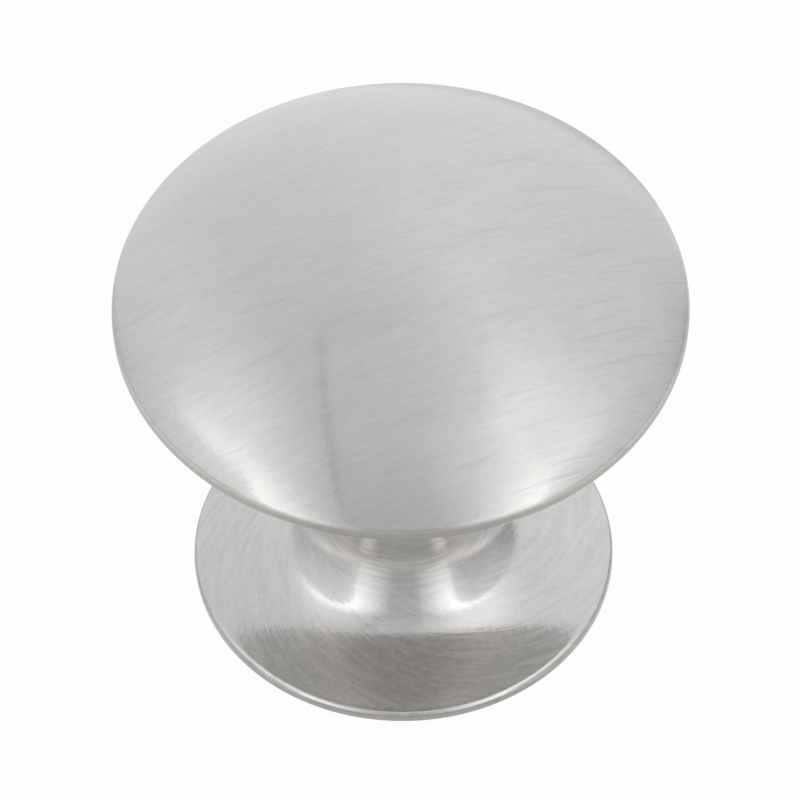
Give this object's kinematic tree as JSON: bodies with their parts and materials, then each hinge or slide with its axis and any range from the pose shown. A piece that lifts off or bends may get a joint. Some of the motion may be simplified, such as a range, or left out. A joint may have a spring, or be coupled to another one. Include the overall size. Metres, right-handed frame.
{
  "type": "cabinet knob",
  "caption": "Round mushroom cabinet knob in brushed satin nickel: domed cap, slim neck, flared foot and a tapped hole in the back for the fixing screw.",
  "frame": {"origin": "centre of the seat on the back of the foot", "axes": "+Z along the knob's axis, from the seat to the crown of the dome"},
  "size_m": [0.0318, 0.0318, 0.0286],
  "materials": {
    "satin_nickel": "brushed satin nickel plate under clear lacquer"
  },
  "bodies": {
    "root": {"knob": "satin_nickel"}
  },
  "joints": []
}
